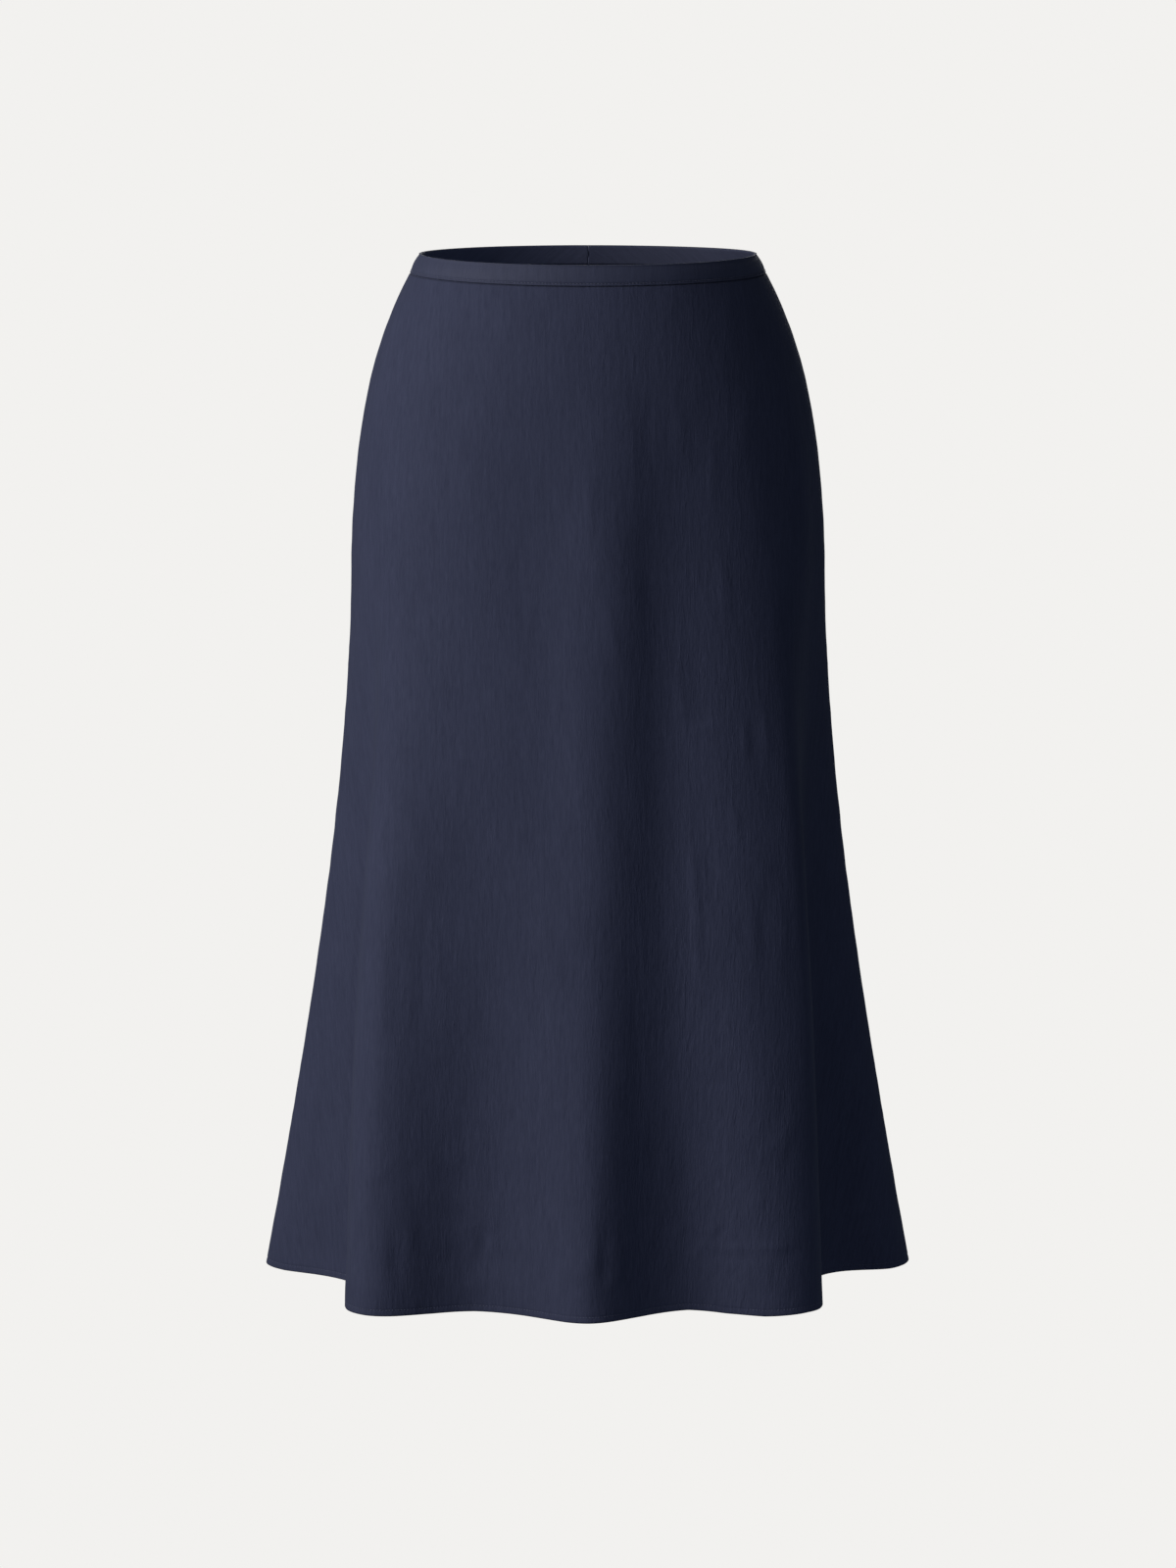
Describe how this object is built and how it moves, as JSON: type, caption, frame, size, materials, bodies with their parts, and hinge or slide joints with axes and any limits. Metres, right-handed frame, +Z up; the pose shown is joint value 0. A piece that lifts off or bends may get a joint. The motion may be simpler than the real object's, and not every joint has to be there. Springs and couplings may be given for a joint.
{
  "type": "flared midi skirt",
  "caption": "Navy flared midi skirt in its worn, hollow form: fitted hips, a narrow waistband, deep soft folds at the hem and a concealed zip at the back.",
  "frame": {"origin": "middle of the waist opening, level with the waist edge at the side seams, where the wearer's waist holds the skirt", "axes": "+Z up, -Y out of the front, +X to the wearer's left"},
  "size_m": [0.5202, 0.4039, 0.8191],
  "materials": {
    "cloth": "matt navy plain weave with fine slubs along its length",
    "band": "the same matt navy cloth, folded and pressed",
    "tape": "close woven navy zip tape",
    "enamel": "satin navy enamel"
  },
  "bodies": {
    "skirt": {"front_panel": "cloth", "back_left_panel": "cloth", "back_right_panel": "cloth", "waistband": "band", "zip_tape": "tape", "zip_slider": "enamel"},
    "pull": {"zip_pull": "enamel"}
  },
  "joints": [
    {"name": "pull_swing", "type": "hinge", "parent": "skirt", "child": "pull", "pos_m": [0, 0.10545, 0.00253], "axis": [1, 0, 0], "range_deg": [0, 150]}
  ]
}
